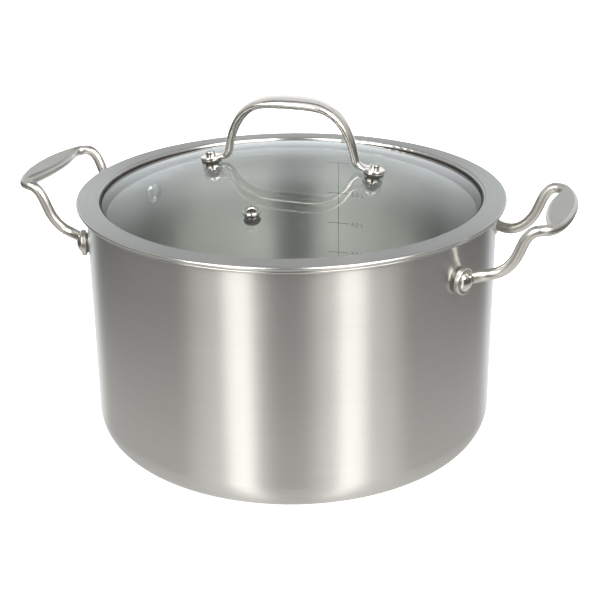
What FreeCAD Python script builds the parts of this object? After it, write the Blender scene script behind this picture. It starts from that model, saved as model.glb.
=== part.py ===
# A two-handled stainless stock pot with a vented glass lid, as separate pieces.
# Millimetres. +Z is up, the side handles lie along X, the steam vent faces -Y,
# and the origin is on the floor under the middle of the pot.
import FreeCAD
import Part
import math
import os
from FreeCAD import Vector

# ---- pot ----
POT_RADIUS = 121.5          # outside of the wall
WALL = 1.0                  # sheet thickness of the pot
BASE_HEIGHT = 5.0           # bonded base under the sheet
POT_CORNER = 18.0           # outside radius between wall and bottom
RIM_TOP = 152.6             # top of the turned-out rim
RIM_RADIUS = 125.8          # outer edge of the turned-out rim
RIM_BEND = 3.0              # inside radius of the bend into the rim

# ---- bonded base ----
CAP_RADIUS = 98.0
CAP_SHEET = 0.6
CAP_CORNER = 2.4

# ---- side handles ----
RIVET_ANGLE = 23.8          # each side of the handle's own axis
RIVET_HEIGHT = 128.6
FOOT_RADIUS = 7.8
FOOT_THICKNESS = 3.2
BOSS_HEIGHT = 1.0           # raised seat that holds the foot off the wall
BOSS_RADIUS = 5.6
ROD_RADIUS = 3.2
LEG_OFFSET = 39.0           # each leg to the handle's axis
GRIP_REACH = 159.2          # middle of the grip to the pot's axis
GRIP_HEIGHT = 157.3         # middle of the grip above the floor
GRIP_HALF_LENGTH = 34.0     # the bar is round beyond this
GRIP_HALF_WIDTH = 8.7
GRIP_HALF_DEPTH = 4.3
GRIP_FLAT = 2.9             # flattened top above the middle of the grip

# ---- rivets ----
SHANK_RADIUS = 2.5
HOLE_PLAY = 0.05            # shank to hole, on the radius
OUTER_HEAD_RADIUS = 5.3
OUTER_HEAD_HEIGHT = 2.6
INNER_HEAD_RADIUS = 6.2
INNER_HEAD_HEIGHT = 2.2

# ---- lid ----
SEAT_GAP = 0.25             # lid bead above the pot's rim
BAND_RADIUS = 127.0
BAND_SHEET = 0.8
BEAD_HEIGHT = 2.5           # rolled outer edge of the band
LIP_RADIUS = 113.8          # middle of the sheet at the band's inner lip
SKIRT_RADIUS = 118.9        # middle of the sheet of the centring skirt
SKIRT_BOTTOM = 143.0
GLASS_RADIUS = 117.0
GLASS_THICKNESS = 4.0
GLASS_APEX = 173.0
GLASS_CURVE = 330.0         # radius of the dome's upper face
SEAL_SHEET = 0.8
SEAL_REACH = 4.4            # how far the seal laps over the glass
SEAL_WALL = 1.2             # seal outside the edge of the glass

# ---- lid fittings, square to the dome where they stand ----
LID_FOOT_REACH = 50.0       # each foot to the lid's axis
LID_FOOT_RADIUS = 6.3
LID_FOOT_THICKNESS = 2.8
LID_GASKET = 0.8
UNDER_GASKET = 1.2
FITTING_HOLE = 4.0          # radius of each hole drilled in the glass
SCREW_RADIUS = 2.0
SCREW_HEAD_RADIUS = 2.9
SCREW_HEAD_HEIGHT = 2.7
NUT_FLANGE_RADIUS = 5.4
NUT_FLANGE = 1.0
NUT_RADIUS = 3.6
NUT_HEIGHT = 5.4
VENT_REACH = 72.6
VENT_BORE = 2.3
VENT_BARREL = 3.1
VENT_FLANGE_RADIUS = 4.7
VENT_FLANGE_HEIGHT = 1.6
VENT_ROLL_HEIGHT = 0.9
GROMMET_FLANGE = 0.5

# ---- lid handle ----
LID_GRIP_HEIGHT = 208.7     # middle of the arch's top above the floor
LID_GRIP_HALF_LENGTH = 42.0  # the bar widens from here to the middle
LID_ROD_RADIUS = 2.25
LID_GRIP_HALF_WIDTH = 8.6
LID_GRIP_HALF_DEPTH = 3.8

OVAL_POLES = 16             # control points round a bar's section
THROUGH = 40.0              # length of a cutter that goes right through
UP = Vector(0, 0, 1)
ORIGIN = Vector(0, 0, 0)


def outline(start, steps):
    """Closed wire in the XZ plane. A step is an end point, or a point on an arc and its end."""
    here = Vector(start[0], 0, start[1])
    first = here
    edges = []
    for step in steps:
        if isinstance(step[0], tuple):
            middle = Vector(step[0][0], 0, step[0][1])
            end = Vector(step[1][0], 0, step[1][1])
            edges.append(Part.Arc(here, middle, end).toShape())
        else:
            end = Vector(step[0], 0, step[1])
            edges.append(Part.LineSegment(here, end).toShape())
        here = end
    if (here - first).Length > 1e-6:
        edges.append(Part.LineSegment(here, first).toShape())
    return Part.Wire(edges)


def on_arc(centre, radius, degrees):
    angle = math.radians(degrees)
    return (centre[0] + radius * math.cos(angle), centre[1] + radius * math.sin(angle))


def turned(start, steps):
    """Solid of revolution about Z from a closed outline."""
    return Part.Face(outline(start, steps)).revolve(ORIGIN, UP, 360)


def oval_poles(centre, across, above, half_width, half_depth):
    """Control points of a closed smooth oval round centre, in the plane of across and above."""
    spread = 3 / (2 + math.cos(2 * math.pi / OVAL_POLES))
    poles = []
    for index in range(OVAL_POLES):
        angle = 2 * math.pi * index / OVAL_POLES
        wide = across * (half_width * spread * math.cos(angle))
        deep = above * (half_depth * spread * math.sin(angle))
        poles.append(centre + wide + deep)
    return poles


def skinned_solid(ovals):
    """Closed solid whose skin is one smooth surface over a row of ovals, with flat ends."""
    poles = [[oval[index] for oval in ovals] for index in range(OVAL_POLES)]
    spans = len(ovals) - 3
    around = list(range(OVAL_POLES + 1))
    along = list(range(spans + 1))
    skin = Part.BSplineSurface()
    skin.buildFromPolesMultsKnots(
        poles, [1] * len(around), [4] + [1] * (spans - 1) + [4], around, along, True, False, 3, 3)
    faces = [skin.toShape()]
    for end in (0, spans):
        faces.append(Part.Face(Part.Wire([skin.vIso(end).toShape()])))
    shell = Part.makeShell(faces)
    shell.sewShape()
    solid = Part.Solid(shell)
    return solid if solid.Volume > 0 else Part.Solid(shell.reversed())


def spline(poles):
    curve = Part.BSplineCurve()
    curve.buildFromPoles([Vector(*pole) for pole in poles], False, 3)
    return curve


def mirrored_rod(half_route, mirror, across, size_at, stations):
    """Solid bar along a route and its mirror image.

    half_route runs from the foot to the middle of the grip. size_at gives the half width
    and half depth of the bar at a point of the route and its share of the half route, which
    is 0 at the foot and 1 at the middle.
    """
    curve = spline(half_route)
    first = curve.FirstParameter
    last = curve.LastParameter
    near_half = []
    far_half = []
    for index in range(stations + 1):
        share = 1 - index / stations
        place = first + (last - first) * share
        point = curve.value(place)
        along = curve.tangent(place)[0]
        across = across - along * across.dot(along)
        across.normalize()
        above = along.cross(across)
        wide, deep = size_at(share, point)
        near_half.append(oval_poles(point, across, above, wide, deep))
        far_half.append(oval_poles(mirror(point), mirror(across), mirror(above), wide, deep))
    near_half.reverse()
    return skinned_solid(near_half + far_half[1:])


def ease(value, low, high):
    """0 below low, 1 above high, and a smooth step between them."""
    share = min(1.0, max(0.0, (value - low) / (high - low)))
    return share * share * (3 - 2 * share)


def radially(shape, degrees, height):
    """Turn a shape built along +Z so that it points out from the pot's axis."""
    placed = shape.copy()
    placed.rotate(ORIGIN, Vector(0, 1, 0), 90)
    placed.rotate(ORIGIN, UP, degrees)
    placed.translate(Vector(0, 0, height))
    return placed


def on_dome(shape, reach, degrees):
    """Move a shape built at the dome's apex down the dome, to reach from the lid's axis."""
    placed = shape.copy()
    centre = Vector(0, 0, GLASS_APEX - GLASS_CURVE)
    tilt = math.degrees(math.asin(reach / GLASS_CURVE))
    placed.rotate(centre, Vector(0, 1, 0), tilt)
    placed.rotate(ORIGIN, UP, degrees)
    return placed


# ---- pot ----

def pot_body():
    inside = POT_RADIUS - WALL
    corner = (POT_RADIUS - POT_CORNER, BASE_HEIGHT + POT_CORNER)
    bend = (inside + RIM_BEND, RIM_TOP - RIM_BEND)
    edge = (RIM_RADIUS - WALL / 2, RIM_TOP - WALL / 2)
    shell = turned((0, BASE_HEIGHT), [
        (corner[0], BASE_HEIGHT),
        (on_arc(corner, POT_CORNER, -45), (POT_RADIUS, corner[1])),
        (POT_RADIUS, bend[1]),
        (on_arc(bend, RIM_BEND - WALL, 135), (bend[0], RIM_TOP - WALL)),
        (edge[0], RIM_TOP - WALL),
        ((RIM_RADIUS, edge[1]), (edge[0], RIM_TOP)),
        (bend[0], RIM_TOP),
        (on_arc(bend, RIM_BEND, 135), (inside, bend[1])),
        (inside, corner[1]),
        (on_arc(corner, POT_CORNER - WALL, -45), (corner[0], BASE_HEIGHT + WALL)),
        (0, BASE_HEIGHT + WALL),
    ])
    drill = Part.makeCylinder(SHANK_RADIUS + HOLE_PLAY, POT_RADIUS + WALL)
    for angle in rivet_angles():
        shell = shell.cut(radially(drill, angle, RIVET_HEIGHT))
    return shell


def base_disc():
    """Heat-spreading disc between the pot's bottom and the base cap."""
    radius = CAP_RADIUS - CAP_SHEET
    fillet = CAP_CORNER - CAP_SHEET
    corner = (radius - fillet, CAP_SHEET + fillet)
    return turned((0, CAP_SHEET), [
        (corner[0], CAP_SHEET),
        (on_arc(corner, fillet, -45), (radius, corner[1])),
        (radius, BASE_HEIGHT),
        (0, BASE_HEIGHT),
    ])


def base_cap():
    """Thin steel dish pressed over the heat-spreading disc. It stands on the floor."""
    inside = CAP_RADIUS - CAP_SHEET
    corner = (CAP_RADIUS - CAP_CORNER, CAP_CORNER)
    return turned((0, 0), [
        (corner[0], 0),
        (on_arc(corner, CAP_CORNER, -45), (CAP_RADIUS, corner[1])),
        (CAP_RADIUS, BASE_HEIGHT),
        (inside, BASE_HEIGHT),
        (inside, corner[1]),
        (on_arc(corner, CAP_CORNER - CAP_SHEET, -45), (corner[0], CAP_SHEET)),
        (0, CAP_SHEET),
    ])


# ---- side handles and their rivets ----

def rivet_angles():
    return [RIVET_ANGLE, -RIVET_ANGLE, 180 + RIVET_ANGLE, 180 - RIVET_ANGLE]


def side_foot():
    """Round foot with a raised seat behind it, along +Z with the seat on the pot's wall."""
    back = POT_RADIUS + BOSS_HEIGHT
    front = back + FOOT_THICKNESS
    round_over = 0.9
    rear_edge = (FOOT_RADIUS - round_over, back + round_over)
    front_edge = (FOOT_RADIUS - round_over, front - round_over)
    return turned((0, POT_RADIUS), [
        (BOSS_RADIUS, POT_RADIUS),
        (BOSS_RADIUS + BOSS_HEIGHT, back),
        (rear_edge[0], back),
        (on_arc(rear_edge, round_over, -45), (FOOT_RADIUS, rear_edge[1])),
        (FOOT_RADIUS, front_edge[1]),
        (on_arc(front_edge, round_over, 45), (front_edge[0], front)),
        (0, front),
    ])


def side_rod():
    """Bent bar of a side handle that points along +X, flattened on top of the grip."""
    root = RIVET_HEIGHT + 0.3
    route = [
        (POT_RADIUS - 7.0, LEG_OFFSET + 8.5, root),
        (POT_RADIUS - 2.0, LEG_OFFSET + 2.8, root),
        (POT_RADIUS + 5.0, LEG_OFFSET - 1.2, root),
        (POT_RADIUS + 13.0, LEG_OFFSET - 0.4, root + 3.6),
        (POT_RADIUS + 19.2, LEG_OFFSET, root + 11.8),
        (POT_RADIUS + 22.0, LEG_OFFSET + 0.5, root + 22.2),
        (POT_RADIUS + 27.0, LEG_OFFSET + 0.8, GRIP_HEIGHT + 0.8),
        (GRIP_REACH - 2.4, LEG_OFFSET - 0.8, GRIP_HEIGHT + 0.2),
        (GRIP_REACH + 0.6, LEG_OFFSET - 9.5, GRIP_HEIGHT - 0.7),
        (GRIP_REACH, LEG_OFFSET * 0.4, GRIP_HEIGHT),
        (GRIP_REACH, 0, GRIP_HEIGHT),
    ]

    def size(share, point):
        root_end = 1 - ease(share, 0.0, 0.17)
        grip = max(0.0, 1 - (point.y / GRIP_HALF_LENGTH) ** 2)
        wide = ROD_RADIUS - 1.1 * root_end + (GRIP_HALF_WIDTH - ROD_RADIUS) * grip
        deep = ROD_RADIUS + 0.3 * root_end + (GRIP_HALF_DEPTH - ROD_RADIUS) * grip
        return wide, deep

    def mirror(vector):
        return Vector(vector.x, -vector.y, vector.z)

    bar = mirrored_rod(route, mirror, Vector(1, 0, 0), size, 24)
    corner = Vector(POT_RADIUS, -2 * LEG_OFFSET, GRIP_HEIGHT + GRIP_FLAT)
    above = Part.makeBox(2 * THROUGH, 4 * LEG_OFFSET, THROUGH, corner)
    return bar.cut(above)


def side_handle(degrees):
    handle = side_rod()
    for angle in (RIVET_ANGLE, -RIVET_ANGLE):
        handle = handle.fuse(radially(side_foot(), angle, RIVET_HEIGHT))
    face = POT_RADIUS + BOSS_HEIGHT + FOOT_THICKNESS
    drill = Part.makeCylinder(SHANK_RADIUS + HOLE_PLAY, GRIP_REACH)
    spot_face = Part.makeCylinder(OUTER_HEAD_RADIUS + 4 * HOLE_PLAY, THROUGH, Vector(0, 0, face))
    for angle in (RIVET_ANGLE, -RIVET_ANGLE):
        handle = handle.cut(radially(drill.fuse(spot_face), angle, RIVET_HEIGHT))
    handle.rotate(ORIGIN, UP, degrees)
    return handle


def cap_rise(base, rise, reach):
    """Height at reach from the axis of a round cap that stands rise above a base radius."""
    ball = (base ** 2 + rise ** 2) / (2 * rise)
    return rise - ball + math.sqrt(ball ** 2 - reach ** 2)


def rivet():
    """One rivet along +Z: low head inside the pot, shank, and domed head on the foot."""
    inner_seat = math.sqrt((POT_RADIUS - WALL) ** 2 - INNER_HEAD_RADIUS ** 2)
    outer_seat = POT_RADIUS + BOSS_HEIGHT + FOOT_THICKNESS
    rim = 0.6
    inner_rise = INNER_HEAD_HEIGHT - rim
    outer_rise = OUTER_HEAD_HEIGHT - rim
    inner_half = INNER_HEAD_RADIUS / 2
    outer_half = OUTER_HEAD_RADIUS / 2
    inner_arch = inner_seat - rim - cap_rise(INNER_HEAD_RADIUS, inner_rise, inner_half)
    outer_arch = outer_seat + rim + cap_rise(OUTER_HEAD_RADIUS, outer_rise, outer_half)
    return turned((0, inner_seat - INNER_HEAD_HEIGHT), [
        ((inner_half, inner_arch), (INNER_HEAD_RADIUS, inner_seat - rim)),
        (INNER_HEAD_RADIUS, inner_seat),
        (SHANK_RADIUS, inner_seat),
        (SHANK_RADIUS, outer_seat),
        (OUTER_HEAD_RADIUS, outer_seat),
        (OUTER_HEAD_RADIUS, outer_seat + rim),
        ((outer_half, outer_arch), (0, outer_seat + OUTER_HEAD_HEIGHT)),
    ])


# ---- lid: glass, seal and steel band ----

def dome_height(radius, reach):
    """Height of the dome of the given radius at a distance from the lid's axis."""
    return GLASS_APEX - GLASS_CURVE + math.sqrt(radius ** 2 - reach ** 2)


def lid_glass():
    under = GLASS_CURVE - GLASS_THICKNESS
    top_edge = (GLASS_RADIUS, dome_height(GLASS_CURVE, GLASS_RADIUS))
    low_edge = (GLASS_RADIUS, dome_height(under, GLASS_RADIUS))
    half = GLASS_RADIUS / 2
    dome = turned((0, GLASS_APEX), [
        ((half, dome_height(GLASS_CURVE, half)), top_edge),
        low_edge,
        ((half, dome_height(under, half)), (0, GLASS_APEX - GLASS_THICKNESS)),
    ])
    drill = Part.makeCylinder(FITTING_HOLE, THROUGH, Vector(0, 0, GLASS_APEX - THROUGH / 2))
    for reach, angle in ((LID_FOOT_REACH, 0), (LID_FOOT_REACH, 180), (VENT_REACH, -90)):
        dome = dome.cut(on_dome(drill, reach, angle))
    return dome


def dome_arc(radius, start, end, lift):
    """Arc of the dome of the given radius, lifted, as an outline step from start to end."""
    middle = (start + end) / 2
    return ((middle, dome_height(radius, middle) + lift), (end, dome_height(radius, end) + lift))


def glass_seal():
    """Channel of silicone round the edge of the glass."""
    inner = GLASS_RADIUS - SEAL_REACH
    outer = GLASS_RADIUS + SEAL_WALL
    under = GLASS_CURVE - GLASS_THICKNESS
    return turned((GLASS_RADIUS, dome_height(GLASS_CURVE, GLASS_RADIUS)), [
        dome_arc(GLASS_CURVE, GLASS_RADIUS, inner, 0),
        (inner, dome_height(GLASS_CURVE, inner) + SEAL_SHEET),
        dome_arc(GLASS_CURVE, inner, outer, SEAL_SHEET),
        (outer, dome_height(under, outer) - SEAL_SHEET),
        dome_arc(under, outer, inner, -SEAL_SHEET),
        (inner, dome_height(under, inner)),
        dome_arc(under, inner, GLASS_RADIUS, 0),
    ])


def lid_rim_band():
    """One strip of sheet: inner lip, wide top, rolled edge, return, skirt and inner hem."""
    half = BAND_SHEET / 2
    bead = BEAD_HEIGHT / 2 - half
    bead_centre = (BAND_RADIUS - half - bead, RIM_TOP + SEAT_GAP + half + bead)
    top = bead_centre[1] + bead
    low = bead_centre[1] - bead
    crown = 0.2
    crown_middle = ((LIP_RADIUS + BAND_RADIUS) / 2, top + 0.8 * crown)
    bend = 1.2
    lip_corner = (LIP_RADIUS + bend, top + crown - bend)
    lip_foot = dome_height(GLASS_CURVE, LIP_RADIUS - half) + SEAL_SHEET
    skirt_corner = (SKIRT_RADIUS + bend, low - bend)
    hem = half + 0.5
    hem_centre = (SKIRT_RADIUS - hem, SKIRT_BOTTOM + half + hem)
    hem_outside = SKIRT_RADIUS - 2 * hem + half
    hem_top = dome_height(GLASS_CURVE - GLASS_THICKNESS, hem_outside) - SEAL_SHEET

    def one_side(side):
        """The strip's face on one side, from the lip to the hem. side is -half or half."""
        lip = LIP_RADIUS + side
        skirt = SKIRT_RADIUS - side
        hem_radius = SKIRT_RADIUS - 2 * hem + side
        return [
            (lip, lip_corner[1]),
            (on_arc(lip_corner, bend - side, 135), (lip_corner[0], top + crown - side)),
            ((crown_middle[0], crown_middle[1] - side), (bead_centre[0], top - side)),
            (on_arc(bead_centre, bead - side, 0), (bead_centre[0], low + side)),
            (skirt_corner[0], low + side),
            (on_arc(skirt_corner, bend + side, 135), (skirt, skirt_corner[1])),
            (skirt, hem_centre[1]),
            (on_arc(hem_centre, hem - side, -90), (hem_radius, hem_centre[1])),
            (hem_radius, hem_top),
        ]

    def backwards(start, steps):
        """The same stretch of outline from its end to its start."""
        ends = [start] + [step[1] if isinstance(step[0], tuple) else step for step in steps]
        back = []
        for index in range(len(steps) - 1, -1, -1):
            step = steps[index]
            back.append((step[0], ends[index]) if isinstance(step[0], tuple) else ends[index])
        return back

    outside = one_side(-half)
    inside = one_side(half)
    inner_start = (LIP_RADIUS + half, lip_foot)
    across_hem = [inside[-1]]
    return turned((LIP_RADIUS - half, lip_foot), outside + across_hem + backwards(inner_start, inside))


# ---- lid fittings, each built at the dome's apex ----

def foot_gasket():
    """Silicone washer under a handle foot, with a sleeve that lines the hole in the glass."""
    sleeve = FITTING_HOLE - HOLE_PLAY
    bore = SCREW_RADIUS + HOLE_PLAY
    return turned((bore, GLASS_APEX - GLASS_THICKNESS), [
        (sleeve, GLASS_APEX - GLASS_THICKNESS),
        (sleeve, GLASS_APEX),
        (LID_FOOT_RADIUS - 0.3, GLASS_APEX),
        (LID_FOOT_RADIUS - 0.3, GLASS_APEX + LID_GASKET),
        (bore, GLASS_APEX + LID_GASKET),
    ])


def under_gasket():
    """Silicone washer between the glass and a nut. It clears the dome's hollow under-face."""
    radius = LID_FOOT_RADIUS - 0.4
    top = dome_height(GLASS_CURVE - GLASS_THICKNESS, radius)
    bore = SCREW_RADIUS + HOLE_PLAY
    return turned((bore, top - UNDER_GASKET), [
        (radius, top - UNDER_GASKET),
        (radius, top),
        (bore, top),
    ])


def cap_nut():
    """Domed nut with a round flange, under the glass."""
    radius = LID_FOOT_RADIUS - 0.4
    top = dome_height(GLASS_CURVE - GLASS_THICKNESS, radius) - UNDER_GASKET
    bottom = top - NUT_HEIGHT
    bore = SCREW_RADIUS + HOLE_PLAY
    bore_end = top - NUT_HEIGHT + 1.2
    rise = 2.4
    half = NUT_RADIUS / 2
    return turned((bore, top), [
        (NUT_FLANGE_RADIUS, top),
        (NUT_FLANGE_RADIUS, top - NUT_FLANGE),
        (NUT_RADIUS, top - NUT_FLANGE),
        (NUT_RADIUS, bottom + rise),
        ((half, bottom + rise - cap_rise(NUT_RADIUS, rise, half)), (0, bottom)),
        (0, bore_end),
        (bore, bore_end),
    ])


def lid_screw():
    """Cheese-head screw through foot, gaskets and glass into the domed nut."""
    seat = GLASS_APEX + LID_GASKET + LID_FOOT_THICKNESS
    head_top = seat + SCREW_HEAD_HEIGHT
    end = GLASS_APEX - GLASS_THICKNESS - UNDER_GASKET - NUT_HEIGHT + 2.0
    round_over = 0.5
    corner = (SCREW_HEAD_RADIUS - round_over, head_top - round_over)
    return turned((0, end), [
        (SCREW_RADIUS, end),
        (SCREW_RADIUS, seat),
        (SCREW_HEAD_RADIUS, seat),
        (SCREW_HEAD_RADIUS, corner[1]),
        (on_arc(corner, round_over, 45), (corner[0], head_top)),
        (0, head_top),
    ])


def vent_grommet():
    """Grooved silicone ring that grips the glass round the steam vent."""
    top = GLASS_APEX + GROMMET_FLANGE
    bottom = GLASS_APEX - GLASS_THICKNESS - GROMMET_FLANGE
    groove = FITTING_HOLE - HOLE_PLAY
    lower_face = dome_height(GLASS_CURVE - GLASS_THICKNESS, VENT_FLANGE_RADIUS)
    bore = VENT_BARREL + HOLE_PLAY
    return turned((bore, bottom), [
        (VENT_FLANGE_RADIUS, bottom),
        (VENT_FLANGE_RADIUS, lower_face),
        (groove, lower_face),
        (groove, GLASS_APEX),
        (VENT_FLANGE_RADIUS, GLASS_APEX),
        (VENT_FLANGE_RADIUS, top),
        (bore, top),
    ])


def steam_vent():
    """Steel eyelet: rounded flange on top, barrel through the glass, rolled edge below."""
    seat = GLASS_APEX + GROMMET_FLANGE
    crest = seat + VENT_FLANGE_HEIGHT
    low_seat = GLASS_APEX - GLASS_THICKNESS - GROMMET_FLANGE
    low = low_seat - VENT_ROLL_HEIGHT
    crest_radius = (VENT_FLANGE_RADIUS + VENT_BORE) / 2
    edge = 0.4
    return turned((VENT_BORE, low), [
        (VENT_FLANGE_RADIUS - edge, low),
        (VENT_FLANGE_RADIUS - edge, low_seat),
        (VENT_BARREL, low_seat),
        (VENT_BARREL, seat),
        (VENT_FLANGE_RADIUS, seat),
        (VENT_FLANGE_RADIUS, seat + edge),
        ((crest_radius, crest), (VENT_BORE, seat + edge)),
    ])


# ---- lid handle ----

def lid_foot():
    """Round foot at the dome's apex, standing on its gasket."""
    low = GLASS_APEX + LID_GASKET
    high = low + LID_FOOT_THICKNESS
    round_over = 0.8
    low_edge = (LID_FOOT_RADIUS - round_over, low + round_over)
    high_edge = (LID_FOOT_RADIUS - round_over, high - round_over)
    return turned((0, low), [
        (low_edge[0], low),
        (on_arc(low_edge, round_over, -45), (LID_FOOT_RADIUS, low_edge[1])),
        (LID_FOOT_RADIUS, high_edge[1]),
        (on_arc(high_edge, round_over, 45), (high_edge[0], high)),
        (0, high),
    ])


def lid_rod():
    """Arched bar of the lid handle, in the XZ plane."""
    foot_height = dome_height(GLASS_CURVE, LID_FOOT_REACH) + LID_GASKET + LID_FOOT_THICKNESS / 2
    route = [
        (LID_FOOT_REACH - 1.0, 0, foot_height + 0.4),
        (LID_FOOT_REACH - 4.8, 0, foot_height + 1.0),
        (LID_FOOT_REACH - 8.4, 0, foot_height + 1.6),
        (LID_FOOT_REACH - 11.0, 0, foot_height + 4.0),
        (LID_FOOT_REACH - 11.6, 0, foot_height + 8.6),
        (LID_FOOT_REACH - 13.3, 0, foot_height + 16.0),
        (LID_FOOT_REACH - 18.5, 0, foot_height + 27.6),
        (LID_FOOT_REACH - 28.0, 0, LID_GRIP_HEIGHT - 1.0),
        (LID_FOOT_REACH - 39.6, 0, LID_GRIP_HEIGHT),
        (0, 0, LID_GRIP_HEIGHT),
    ]

    def size(share, point):
        root_end = 1 - ease(share, 0.0, 0.2)
        along = min(1.0, abs(point.x) / LID_GRIP_HALF_LENGTH)
        grip = math.sqrt(1 - along ** 2)
        wide = LID_ROD_RADIUS + 2.2 * root_end + (LID_GRIP_HALF_WIDTH - LID_ROD_RADIUS) * grip ** 1.5
        deep = LID_ROD_RADIUS - 0.95 * root_end + (LID_GRIP_HALF_DEPTH - LID_ROD_RADIUS) * grip ** 3
        return wide, deep

    def mirror(vector):
        return Vector(-vector.x, vector.y, vector.z)

    return mirrored_rod(route, mirror, Vector(0, 1, 0), size, 20)


def lid_handle():
    handle = lid_rod()
    seat = GLASS_APEX + LID_GASKET + LID_FOOT_THICKNESS
    drill = Part.makeCylinder(SCREW_RADIUS + HOLE_PLAY, THROUGH, Vector(0, 0, GLASS_APEX))
    spot_face = Part.makeCylinder(SCREW_HEAD_RADIUS + 4 * HOLE_PLAY, THROUGH, Vector(0, 0, seat))
    for angle in (0, 180):
        handle = handle.fuse(on_dome(lid_foot(), LID_FOOT_REACH, angle))
    for angle in (0, 180):
        handle = handle.cut(on_dome(drill.fuse(spot_face), LID_FOOT_REACH, angle))
    return handle


def all_parts():
    parts = {
        "pot_body": pot_body(),
        "base_disc": base_disc(),
        "base_cap": base_cap(),
        "side_handle_right": side_handle(0),
        "side_handle_left": side_handle(180),
        "lid_glass": lid_glass(),
        "glass_seal": glass_seal(),
        "lid_rim_band": lid_rim_band(),
        "lid_handle": lid_handle(),
        "vent_grommet": on_dome(vent_grommet(), VENT_REACH, -90),
        "steam_vent": on_dome(steam_vent(), VENT_REACH, -90),
    }
    corners = ("right_back", "right_front", "left_front", "left_back")
    for name, angle in zip(corners, rivet_angles()):
        parts["rivet_" + name] = radially(rivet(), angle, RIVET_HEIGHT)
    fittings = {
        "foot_gasket": foot_gasket,
        "under_gasket": under_gasket,
        "cap_nut": cap_nut,
        "lid_screw": lid_screw,
    }
    for side, angle in (("right", 0), ("left", 180)):
        for name, make in fittings.items():
            parts[name + "_" + side] = on_dome(make(), LID_FOOT_REACH, angle)
    return parts


def main():
    os.makedirs("parts", exist_ok=True)
    for name, shape in all_parts().items():
        print(name, "valid" if shape.isValid() else "NOT VALID",
              "solids", len(shape.Solids), "volume_mm3", round(shape.Volume, 1))
        shape.exportStep("parts/" + name + ".step")


main()
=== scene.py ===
"""Looks for the stock pot: brushed and polished steel, glass, rubber, litre marks and a studio."""

import math

import bmesh
import bpy
from mathutils import Matrix, Vector


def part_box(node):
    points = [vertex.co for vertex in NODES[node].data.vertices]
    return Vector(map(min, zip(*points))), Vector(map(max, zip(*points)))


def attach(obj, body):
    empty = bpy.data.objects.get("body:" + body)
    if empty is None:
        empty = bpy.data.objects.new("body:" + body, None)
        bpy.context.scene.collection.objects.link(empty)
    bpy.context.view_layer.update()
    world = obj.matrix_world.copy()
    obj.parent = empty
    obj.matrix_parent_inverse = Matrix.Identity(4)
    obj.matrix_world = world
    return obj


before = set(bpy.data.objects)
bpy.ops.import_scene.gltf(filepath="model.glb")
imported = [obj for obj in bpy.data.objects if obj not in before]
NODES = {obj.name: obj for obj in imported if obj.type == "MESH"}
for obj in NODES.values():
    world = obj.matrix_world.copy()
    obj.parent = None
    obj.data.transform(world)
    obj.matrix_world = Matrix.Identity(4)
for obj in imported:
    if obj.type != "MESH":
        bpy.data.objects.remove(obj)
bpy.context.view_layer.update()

MM = 0.001

# ---- camera ----
CAMERA_AZIMUTH = 17.2        # degrees
CAMERA_ELEVATION = 22.8
CAMERA_ROLL = -0.6
CAMERA_DISTANCE = 0.805      # metres
CAMERA_LENS = 78.4
CAMERA_AIM = Vector((0.0042, 0.0012, 0.0843))

# ---- litre marks inside the wall ----
SCALE_ANGLE = 92.0           # degrees from +X
SCALE_LITRE = 21.7 * MM      # height of one litre
SCALE_ZERO = 6.4 * MM        # height of no litres
SCALE_LITRES = 6
TICK_HALF = 7.4 * MM
LINE_WIDTH = 0.38 * MM
MARK_LIFT = 0.04 * MM        # marks stand this far off the wall
LABEL_HEIGHT = 3.4 * MM      # height of a capital letter
LABEL_GAP = 1.6 * MM
CAPITAL_SHARE = 0.72         # height of a capital letter in a font of size 1
BAR_RUN = 1.0 * MM           # longest straight run of a bar that follows the wall

# ---- studio ----
FLOOR_HALF = 6.0             # metres
CARD_RADIUS = 0.45
CARD_LIFT = 0.2 * MM         # height of the card above the floor
CARD_GLOW = 0.34             # brightness close to the pot
GLOW_START = 0.20            # the glow fades between these distances from the axis
GLOW_END = 0.42
LAMP_AIM = Vector((0, 0, 0.1))
FRONT = CAMERA_AZIMUTH
BACK = CAMERA_AZIMUTH + 180.0
WARM = (1.0, 0.975, 0.92)
COOL = (0.93, 0.98, 1.0)
PLAIN = (1.0, 0.985, 0.95)


# ---- node helpers ----

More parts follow.
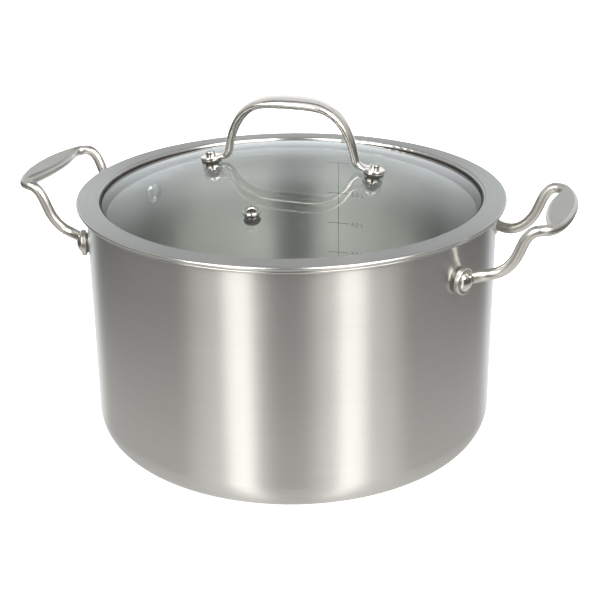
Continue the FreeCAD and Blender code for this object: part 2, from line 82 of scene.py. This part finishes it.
class Shader:
    """A new material with one Principled shader, and short ways to add nodes to it."""

    def __init__(self, name):
        self.material = bpy.data.materials.new(name)
        self.material.use_nodes = True
        self.tree = self.material.node_tree
        self.surface = self.tree.nodes["Principled BSDF"]
        self.output = self.tree.nodes["Material Output"]

    def add(self, kind, **settings):
        node = self.tree.nodes.new(kind)
        for key, value in settings.items():
            setattr(node, key, value)
        return node

    def link(self, source, target):
        self.tree.links.new(source, target)

    def put(self, target, value):
        """Link a socket, or set a plain value."""
        if isinstance(value, bpy.types.NodeSocket):
            self.link(value, target)
        else:
            target.default_value = value

    def math(self, operation, first, second=0.0):
        node = self.add("ShaderNodeMath", operation=operation)
        self.put(node.inputs[0], first)
        self.put(node.inputs[1], second)
        return node.outputs[0]

    def blend(self, first, second, share):
        """Mix two values, with this share of the second."""
        rest = self.math("MULTIPLY", first, 1.0 - share)
        return self.math("ADD", rest, self.math("MULTIPLY", second, share))

    def noise(self, vector, scale, detail=3.0, roughness=0.5):
        node = self.add("ShaderNodeTexNoise")
        self.link(vector, node.inputs["Vector"])
        node.inputs["Scale"].default_value = scale
        node.inputs["Detail"].default_value = detail
        node.inputs["Roughness"].default_value = roughness
        return node.outputs["Fac"]

    def spread(self, value, low, high, from_low=0.25, from_high=0.75):
        """Map a value from one range to the range low to high, and hold it there."""
        node = self.add("ShaderNodeMapRange")
        self.put(node.inputs["Value"], value)
        node.inputs["From Min"].default_value = from_low
        node.inputs["From Max"].default_value = from_high
        node.inputs["To Min"].default_value = low
        node.inputs["To Max"].default_value = high
        return node.outputs["Result"]

    def shades(self, value, dark, light):
        """Blend two colours by a value."""
        node = self.add("ShaderNodeMix", data_type="RGBA")
        self.put(node.inputs["Factor"], value)
        node.inputs["A"].default_value = (*dark, 1)
        node.inputs["B"].default_value = (*light, 1)
        return node.outputs["Result"]

    def bump(self, height, strength, distance):
        node = self.add("ShaderNodeBump")
        node.inputs["Strength"].default_value = strength
        node.inputs["Distance"].default_value = distance
        self.link(height, node.inputs["Height"])
        self.link(node.outputs["Normal"], self.surface.inputs["Normal"])

    def place(self):
        return self.add("ShaderNodeTexCoord").outputs["Object"]

    def from_axis(self):
        """The place's three coordinates, and its distance from the Z axis."""
        parts = self.add("ShaderNodeSeparateXYZ")
        self.link(self.place(), parts.inputs[0])
        x, y, z = parts.outputs
        squares = self.math("ADD", self.math("MULTIPLY", x, x), self.math("MULTIPLY", y, y))
        return x, y, z, self.math("SQRT", squares)

    def around(self, turns, lines):
        """Coordinates that change slowly round the Z axis and fast along the turned profile."""
        x, y, z, reach = self.from_axis()
        profile = self.math("MULTIPLY", self.math("ADD", reach, z), lines)
        joined = self.add("ShaderNodeCombineXYZ")
        self.link(self.math("MULTIPLY", self.math("DIVIDE", x, reach), turns), joined.inputs[0])
        self.link(self.math("MULTIPLY", self.math("DIVIDE", y, reach), turns), joined.inputs[1])
        self.link(profile, joined.inputs[2])
        return joined.outputs[0]


# ---- materials ----

def turned_steel(name, dark, light, rough, inner_rough, inner_radius, anisotropic, ripple):
    """Steel brushed round the Z axis: fine lines, soft clouds and a very slight ripple.

    Nearer to the axis than inner_radius it has the roughness inner_rough.
    """
    shader = Shader(name)
    fine = shader.noise(shader.around(3.0, 2600.0), 1.0, 3.0, 0.7)
    broad = shader.noise(shader.around(1.2, 260.0), 1.0, 3.0, 0.6)
    clouds = shader.noise(shader.place(), 9.0, 3.0, 0.55)
    tone = shader.spread(shader.blend(shader.blend(fine, broad, 0.15), clouds, 0.3), 0.0, 1.0, 0.3, 0.7)
    shader.link(shader.shades(tone, dark, light), shader.surface.inputs["Base Color"])
    wear = shader.spread(broad, -0.004, 0.006, 0.2, 0.8)
    smudge = shader.spread(clouds, -0.012, 0.018)
    uneven = shader.math("ADD", wear, smudge)
    outside = shader.math("GREATER_THAN", shader.from_axis()[3], inner_radius)
    base = shader.math("ADD", shader.math("MULTIPLY", outside, rough - inner_rough), inner_rough)
    shader.link(shader.math("ADD", uneven, base), shader.surface.inputs["Roughness"])
    shader.bump(clouds, 0.5, ripple)
    shader.surface.inputs["Metallic"].default_value = 1.0
    shader.surface.inputs["Anisotropic"].default_value = anisotropic
    tangent = shader.add("ShaderNodeTangent", direction_type="RADIAL", axis="Z")
    shader.link(tangent.outputs[0], shader.surface.inputs["Tangent"])
    shader.surface.inputs["Anisotropic Rotation"].default_value = 0.25
    return shader.material


def cast_steel(name, dark, light, rough, grain):
    """Satin or polished solid steel with a faint grain and handling marks."""
    shader = Shader(name)
    place = shader.place()
    speck = shader.noise(place, 900.0, 4.0, 0.7)
    clouds = shader.noise(place, 45.0, 3.0, 0.55)
    marks = shader.blend(speck, clouds, 0.5)
    tone = shader.spread(marks, 0.0, 1.0, 0.3, 0.7)
    wear = shader.spread(marks, rough * 0.92, rough * 1.1, 0.3, 0.7)
    shader.link(shader.shades(tone, dark, light), shader.surface.inputs["Base Color"])
    shader.link(wear, shader.surface.inputs["Roughness"])
    shader.bump(speck, 0.02, grain)
    shader.surface.inputs["Metallic"].default_value = 1.0
    return shader.material


def clear_glass(name):
    """Tempered lid glass: clear, faintly green, and glossier where it is seen edge-on."""
    shader = Shader(name)
    place = shader.place()
    waves = shader.noise(place, 14.0, 1.0, 0.4)
    film = shader.noise(place, 60.0, 4.0, 0.6)
    shader.tree.nodes.remove(shader.surface)
    shader.surface = shader.add("ShaderNodeBsdfAnisotropic")
    shader.surface.inputs["Color"].default_value = (1, 1, 1, 1)
    shader.link(shader.spread(film, 0.0, 0.05, 0.45, 0.8), shader.surface.inputs["Roughness"])
    shader.bump(waves, 0.05, 0.2 * MM)
    open_way = shader.add("ShaderNodeBsdfTransparent")
    open_way.inputs["Color"].default_value = (0.965, 0.988, 0.985, 1)
    slant = shader.add("ShaderNodeLayerWeight").outputs["Facing"]
    growth = shader.math("POWER", slant, 4.5)
    gloss = shader.math("ADD", shader.math("MULTIPLY", growth, 0.95), 0.05)
    mixed = shader.add("ShaderNodeMixShader")
    shader.link(gloss, mixed.inputs[0])
    shader.link(open_way.outputs[0], mixed.inputs[1])
    shader.link(shader.surface.outputs[0], mixed.inputs[2])
    shader.link(mixed.outputs[0], shader.output.inputs["Surface"])
    return shader.material


def soft_rubber(name):
    """Dark silicone with a fine grain and a little dust."""
    shader = Shader(name)
    place = shader.place()
    grain = shader.noise(place, 1400.0, 3.0, 0.6)
    dust = shader.noise(place, 80.0, 4.0, 0.6)
    tone = shader.shades(shader.spread(dust, 0.0, 1.0), (0.012, 0.010, 0.009), (0.045, 0.040, 0.036))
    shader.link(tone, shader.surface.inputs["Base Color"])
    shader.link(shader.spread(grain, 0.45, 0.65), shader.surface.inputs["Roughness"])
    shader.bump(grain, 0.2, 0.05 * MM)
    return shader.material


def dark_etch(name, dark, light):
    """The dull grey of a mark etched in steel."""
    shader = Shader(name)
    grain = shader.noise(shader.place(), 2500.0, 2.0, 0.5)
    shader.link(shader.shades(grain, dark, light), shader.surface.inputs["Base Color"])
    shader.link(shader.spread(grain, 0.4, 0.6), shader.surface.inputs["Roughness"])
    shader.bump(grain, 0.2, 0.02 * MM)
    shader.surface.inputs["Metallic"].default_value = 0.8
    return shader.material


def paper_floor(name):
    """White paper that glows a little, so that the floor stays pale."""
    shader = Shader(name)
    fibre = shader.noise(shader.place(), 700.0, 3.0, 0.6)
    shader.link(shader.shades(fibre, (0.86, 0.86, 0.86), (0.92, 0.92, 0.92)),
                shader.surface.inputs["Base Color"])
    shader.surface.inputs["Roughness"].default_value = 0.9
    shader.surface.inputs["Specular IOR Level"].default_value = 0.1
    shader.surface.inputs["Emission Color"].default_value = (1, 1, 1, 1)
    shader.surface.inputs["Emission Strength"].default_value = 0.75
    return shader.material


def dress(material, *names):
    """Give nodes a material in place of their own."""
    for name in names:
        slots = NODES[name].data.materials
        slots.clear()
        slots.append(material)


def dress_turned_nodes():
    """The pot's body, the dish under it and the lid's band, which are brushed round the axis."""
    ripple = 0.2 * MM
    inside_wall = inner_radius() + 0.5 * MM
    body = turned_steel(
        "body_steel", (0.56, 0.557, 0.54), (0.625, 0.623, 0.61), 0.295, 0.31, inside_wall, 0.95, ripple)
    cap = turned_steel(
        "cap_steel", (0.50, 0.49, 0.475), (0.62, 0.61, 0.595), 0.30, 0.30, 0.0, 0.9, ripple)
    band = turned_steel(
        "band_steel", (0.56, 0.56, 0.55), (0.68, 0.68, 0.67), 0.30, 0.30, 0.0, 0.8, ripple)
    dress(body, "pot_body")
    dress(cap, "base_cap")
    dress(band, "lid_rim_band")


def dress_other_nodes():
    """Everything else: handles, screws, rivets, vent, glass, rubber and the base's core."""
    satin = cast_steel("satin_steel", (0.57, 0.56, 0.53), (0.65, 0.64, 0.61), 0.31, 0.015 * MM)
    shiny = cast_steel("shiny_steel", (0.68, 0.66, 0.63), (0.78, 0.76, 0.73), 0.20, 0.01 * MM)
    polished = cast_steel("polished_steel", (0.66, 0.65, 0.62), (0.76, 0.75, 0.72), 0.10, 0.01 * MM)
    core = cast_steel("core_aluminium", (0.70, 0.70, 0.71), (0.80, 0.80, 0.81), 0.40, 0.03 * MM)
    rubber = soft_rubber("seal_rubber")
    dress(core, "base_disc")
    dress(satin, "side_handle_right", "side_handle_left")
    dress(shiny, "lid_handle")
    dress(polished, "steam_vent")
    dress(clear_glass("lid_glass"), "lid_glass")
    dress(rubber, "glass_seal", "vent_grommet")
    for corner in ("right_back", "right_front", "left_front", "left_back"):
        dress(polished, "rivet_" + corner)
    for side in ("right", "left"):
        dress(polished, "cap_nut_" + side, "lid_screw_" + side)
        dress(rubber, "foot_gasket_" + side, "under_gasket_" + side)


# ---- litre marks ----

def inner_radius():
    """Inside radius of the pot's wall, from its node's mesh at half height."""
    low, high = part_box("pot_body")
    middle = (low.z + high.z) / 2
    reaches = []
    for edge in NODES["pot_body"].data.edges:
        first, second = (NODES["pot_body"].data.vertices[i].co for i in edge.vertices)
        if min(first.z, second.z) < middle < max(first.z, second.z):
            reaches.append(min(math.hypot(first.x, first.y), math.hypot(second.x, second.y)))
    return min(reaches)


def wrap_on_wall(points, radius):
    """Move flat points (right, out of the wall, up) onto the inside of the wall at the scale."""
    wrapped = []
    for right, out, up in points:
        angle = math.radians(SCALE_ANGLE) - right / radius
        reach = radius - out
        wrapped.append((reach * math.cos(angle), reach * math.sin(angle), up))
    return wrapped


def mark_bar(mesh, left, right, low, high, radius):
    """A thin raised bar on the wall, in short runs so that it follows the curve."""
    runs = math.ceil((right - left) / BAR_RUN)
    rings = []
    for step in range(runs + 1):
        across = left + (right - left) * step / runs
        ring = [(across, MARK_LIFT / 4, low), (across, MARK_LIFT, low),
                (across, MARK_LIFT, high), (across, MARK_LIFT / 4, high)]
        rings.append([mesh.verts.new(point) for point in wrap_on_wall(ring, radius)])
    for first, second in zip(rings, rings[1:]):
        for corner in range(4):
            after = (corner + 1) % 4
            mesh.faces.new((first[corner], first[after], second[after], second[corner]))
    mesh.faces.new(rings[0][::-1])
    mesh.faces.new(rings[-1])


def finish_piece(name, mesh, material, body):
    """Turn a mesh into a named piece that rides on a body."""
    bmesh.ops.recalc_face_normals(mesh, faces=mesh.faces)
    data = bpy.data.meshes.new(name)
    mesh.to_mesh(data)
    mesh.free()
    data.materials.append(material)
    piece = bpy.data.objects.new(name, data)
    bpy.context.scene.collection.objects.link(piece)
    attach(piece, body)


def label_mesh(mesh, words, right, middle, radius):
    """Etched letters on the wall, starting at right and centred on the height middle."""
    curve = bpy.data.curves.new("label", "FONT")
    curve.body = words
    curve.size = LABEL_HEIGHT / CAPITAL_SHARE
    curve.extrude = MARK_LIFT / 3
    curve.resolution_u = 3
    letters = bpy.data.objects.new("label", curve)
    bpy.context.scene.collection.objects.link(letters)
    bpy.context.view_layer.update()
    flat = bpy.data.meshes.new_from_object(letters)
    bpy.data.objects.remove(letters)
    points = []
    for vertex in flat.vertices:
        out = MARK_LIFT * 2 / 3 + vertex.co.z
        points.append((right + vertex.co.x, out, middle - LABEL_HEIGHT / 2 + vertex.co.y))
    made = [mesh.verts.new(point) for point in wrap_on_wall(points, radius)]
    for face in flat.polygons:
        corners = [made[i] for i in face.vertices]
        if len(set(corners)) > 2:
            mesh.faces.new(corners)
    bpy.data.meshes.remove(flat)


def litre_scale():
    """A line up the wall with a tick at each litre, and a number beside all but the top one."""
    radius = inner_radius()
    etch = dark_etch("etched_lines", (0.10, 0.095, 0.085), (0.22, 0.21, 0.19))
    pale = dark_etch("etched_numbers", (0.22, 0.21, 0.19), (0.36, 0.35, 0.33))
    top = SCALE_ZERO + SCALE_LITRES * SCALE_LITRE
    bars = bmesh.new()
    mark_bar(bars, -LINE_WIDTH / 2, LINE_WIDTH / 2, SCALE_ZERO + SCALE_LITRE, top, radius)
    for litre in range(1, SCALE_LITRES + 1):
        height = SCALE_ZERO + litre * SCALE_LITRE
        mark_bar(bars, -TICK_HALF, TICK_HALF, height - LINE_WIDTH / 2, height + LINE_WIDTH / 2, radius)
    finish_piece("litre_lines", bars, etch, "pot")
    letters = bmesh.new()
    for litre in range(1, SCALE_LITRES):
        height = SCALE_ZERO + litre * SCALE_LITRE
        label_mesh(letters, "%.1f L" % litre, TICK_HALF + LABEL_GAP, height, radius)
    finish_piece("litre_numbers", letters, pale, "pot")


# ---- studio ----

def studio_floor():
    mesh = bmesh.new()
    corners = [(x * FLOOR_HALF, y * FLOOR_HALF, 0) for x, y in ((-1, -1), (1, -1), (1, 1), (-1, 1))]
    mesh.faces.new([mesh.verts.new(corner) for corner in corners])
    data = bpy.data.meshes.new("studio_floor")
    mesh.to_mesh(data)
    mesh.free()
    data.materials.append(paper_floor("studio_floor"))
    floor = bpy.data.objects.new("studio_floor", data)
    bpy.context.scene.collection.objects.link(floor)
    floor.visible_glossy = False


def table_glow(name):
    """White light that the table throws back, strongest close to the pot."""
    shader = Shader(name)
    near = shader.spread(shader.from_axis()[3], CARD_GLOW, 0.0, GLOW_START, GLOW_END)
    patchy = shader.spread(shader.noise(shader.place(), 6.0), 0.96, 1.04)
    shader.tree.nodes.remove(shader.surface)
    glow = shader.add("ShaderNodeEmission")
    glow.inputs["Color"].default_value = (1, 0.985, 0.95, 1)
    shader.link(shader.math("MULTIPLY", near, patchy), glow.inputs["Strength"])
    both = shader.add("ShaderNodeAddShader")
    shader.link(glow.outputs[0], both.inputs[0])
    shader.link(shader.add("ShaderNodeBsdfTransparent").outputs[0], both.inputs[1])
    shader.link(both.outputs[0], shader.output.inputs["Surface"])
    return shader.material


def table_card():
    """A disc just above the floor that only reflections see."""
    mesh = bmesh.new()
    bmesh.ops.create_circle(mesh, cap_ends=True, segments=96, radius=CARD_RADIUS)
    data = bpy.data.meshes.new("table_card")
    mesh.to_mesh(data)
    mesh.free()
    data.materials.append(table_glow("table_glow"))
    card = bpy.data.objects.new("table_card", data)
    bpy.context.scene.collection.objects.link(card)
    card.location.z = CARD_LIFT
    card.visible_camera = False
    card.visible_diffuse = False
    card.visible_transmission = False
    card.visible_shadow = False


class Sky:
    """Builds the studio's brightness from directions, in degrees round and above the object."""

    def __init__(self, world):
        world.use_nodes = True
        self.tree = world.node_tree
        place = self.tree.nodes.new("ShaderNodeTexCoord")
        parts = self.tree.nodes.new("ShaderNodeSeparateXYZ")
        self.tree.links.new(place.outputs["Generated"], parts.inputs[0])
        x, y, z = parts.outputs
        self.turn = self.math("ARCTAN2", x, self.math("MULTIPLY", y, -1.0))
        self.lift = self.math("ARCSINE", z)

    def math(self, operation, first, second=0.0):
        node = self.tree.nodes.new("ShaderNodeMath")
        node.operation = operation
        for socket, value in zip(node.inputs, (first, second)):
            if isinstance(value, bpy.types.NodeSocket):
                self.tree.links.new(value, socket)
            else:
                socket.default_value = value
        return node.outputs[0]

    def ease(self, value, start, end):
        """0 before start degrees and 1 past end degrees, or the other way round if start is larger."""
        node = self.tree.nodes.new("ShaderNodeMapRange")
        node.interpolation_type = "SMOOTHSTEP"
        self.tree.links.new(value, node.inputs["Value"])
        node.inputs["From Min"].default_value = math.radians(min(start, end))
        node.inputs["From Max"].default_value = math.radians(max(start, end))
        node.inputs["To Min"].default_value = 0.0 if start < end else 1.0
        node.inputs["To Max"].default_value = 1.0 if start < end else 0.0
        return node.outputs["Result"]

    def panel(self, azimuth, half_wide, lowest, highest, edge):
        """A soft-edged light panel, as a share from 0 to 1."""
        away = self.math("SUBTRACT", self.turn, math.radians(azimuth))
        wrapped = self.math("ARCTAN2", self.math("SINE", away), self.math("COSINE", away))
        sides = self.ease(self.math("ABSOLUTE", wrapped), half_wide + edge / 2, half_wide - edge / 2)
        above = self.ease(self.lift, lowest - edge, lowest + edge)
        below = self.ease(self.lift, highest + edge, highest - edge)
        return self.math("MULTIPLY", sides, self.math("MULTIPLY", above, below))

    def tinted(self, share, power, colour):
        """A share from 0 to 1 as coloured light."""
        node = self.tree.nodes.new("ShaderNodeVectorMath")
        node.operation = "SCALE"
        node.inputs[0].default_value = [channel * power for channel in colour]
        self.tree.links.new(share, node.inputs["Scale"])
        return node.outputs[0]

    def plus(self, first, second):
        node = self.tree.nodes.new("ShaderNodeVectorMath")
        node.operation = "ADD"
        self.tree.links.new(first, node.inputs[0])
        self.tree.links.new(second, node.inputs[1])
        return node.outputs[0]


def studio_lights(sky):
    """Every light of the room: its share of the sky, its power and its colour."""
    return [
        # the room, the table and the ceiling
        (sky.ease(sky.lift, -90.0, -89.0), 0.13, PLAIN),
        (sky.ease(sky.lift, -16.0, -34.0), 0.31, PLAIN),
        (sky.ease(sky.lift, 72.0, 84.0), 0.35, COOL),
        # two upright strips that the pot's front mirrors
        (sky.panel(FRONT - 30.0, 7.5, -75.0, 14.0, 5.0), 1.05, WARM),
        (sky.panel(FRONT + 33.0, 7.5, -75.0, 14.0, 5.0), 1.0, WARM),
        # two high panels that light the inside
        (sky.panel(FRONT - 38.0, 21.0, 16.0, 58.0, 4.0), 7.0, WARM),
        (sky.panel(FRONT + 37.0, 25.0, 16.0, 58.0, 4.0), 7.0, WARM),
        # both sides
        (sky.panel(FRONT + 105.0, 35.0, 8.0, 55.0, 10.0), 0.5, PLAIN),
        (sky.panel(FRONT - 105.0, 35.0, 8.0, 55.0, 10.0), 0.5, PLAIN),
        # behind the pot: three from low to high, then a small one on each side of the lowest
        (sky.panel(BACK, 38.0, -30.0, 8.0, 12.0), 1.0, COOL),
        (sky.panel(BACK, 50.0, 15.0, 32.0, 10.0), 0.6, COOL),
        (sky.panel(BACK, 60.0, 40.0, 70.0, 10.0), 0.2, COOL),
        (sky.panel(BACK - 28.0, 18.0, 3.0, 18.0, 6.0), 0.3, COOL),
        (sky.panel(BACK + 28.0, 18.0, 3.0, 18.0, 6.0), 0.3, COOL),
    ]


def studio_world():
    """Dim room with a bright table, soft light panels, and plain white behind the object."""
    world = bpy.data.worlds.new("studio")
    bpy.context.scene.world = world
    sky = Sky(world)
    total = None
    for share, power, colour in studio_lights(sky):
        light = sky.tinted(share, power, colour)
        total = light if total is None else sky.plus(total, light)
    tree = sky.tree
    room = tree.nodes["Background"]
    tree.links.new(total, room.inputs["Color"])
    backdrop = tree.nodes.new("ShaderNodeBackground")
    backdrop.inputs["Color"].default_value = (1, 1, 1, 1)
    path = tree.nodes.new("ShaderNodeLightPath")
    mixed = tree.nodes.new("ShaderNodeMixShader")
    tree.links.new(path.outputs["Is Camera Ray"], mixed.inputs[0])
    tree.links.new(room.outputs[0], mixed.inputs[1])
    tree.links.new(backdrop.outputs[0], mixed.inputs[2])
    tree.links.new(mixed.outputs[0], tree.nodes["World Output"].inputs["Surface"])


def direction(azimuth, elevation):
    """Unit vector towards a place in the studio. Azimuth 0 is -Y, and 90 is +X."""
    angle = math.radians(azimuth)
    lift = math.radians(elevation)
    return Vector((math.sin(angle) * math.cos(lift), -math.cos(angle) * math.cos(lift), math.sin(lift)))


def studio_lamp(name, azimuth, elevation, distance, size, power, only=()):
    """A square lamp that the camera doesn't see. If only is given, it lights only those nodes."""
    away = direction(azimuth, elevation)
    data = bpy.data.lights.new(name, "AREA")
    data.shape = "SQUARE"
    data.size = size
    data.energy = power
    lamp = bpy.data.objects.new(name, data)
    bpy.context.scene.collection.objects.link(lamp)
    lamp.location = LAMP_AIM + away * distance
    lamp.rotation_euler = (-away).to_track_quat("-Z", "Y").to_euler()
    lamp.visible_camera = False
    lamp.visible_glossy = bool(only)
    if only:
        lit = bpy.data.collections.new(name + "_lights")
        for node in only:
            lit.objects.link(NODES[node])
        lamp.light_linking.receiver_collection = lit


def studio_camera():
    away = direction(CAMERA_AZIMUTH, CAMERA_ELEVATION)
    data = bpy.data.cameras.new("camera")
    data.lens = CAMERA_LENS
    camera = bpy.data.objects.new("camera", data)
    bpy.context.scene.collection.objects.link(camera)
    level = (-away).to_track_quat("-Z", "Y").to_matrix().to_4x4()
    roll = Matrix.Rotation(math.radians(CAMERA_ROLL), 4, "Z")
    camera.matrix_world = Matrix.Translation(CAMERA_AIM + away * CAMERA_DISTANCE) @ level @ roll
    bpy.context.scene.camera = camera


dress_turned_nodes()
dress_other_nodes()
litre_scale()
studio_floor()
table_card()
studio_world()
studio_lamp("top_lamp", 0.0, 80.0, 1.6, 1.2, 25.0)
studio_lamp("handle_back_lamp", BACK, 36.0, 1.0, 1.1, 2.2, ["lid_handle"])
studio_lamp("handle_front_lamp", FRONT, 70.0, 1.0, 0.9, 2.0, ["lid_handle"])
studio_camera()
bpy.context.scene.view_settings.view_transform = "Standard"
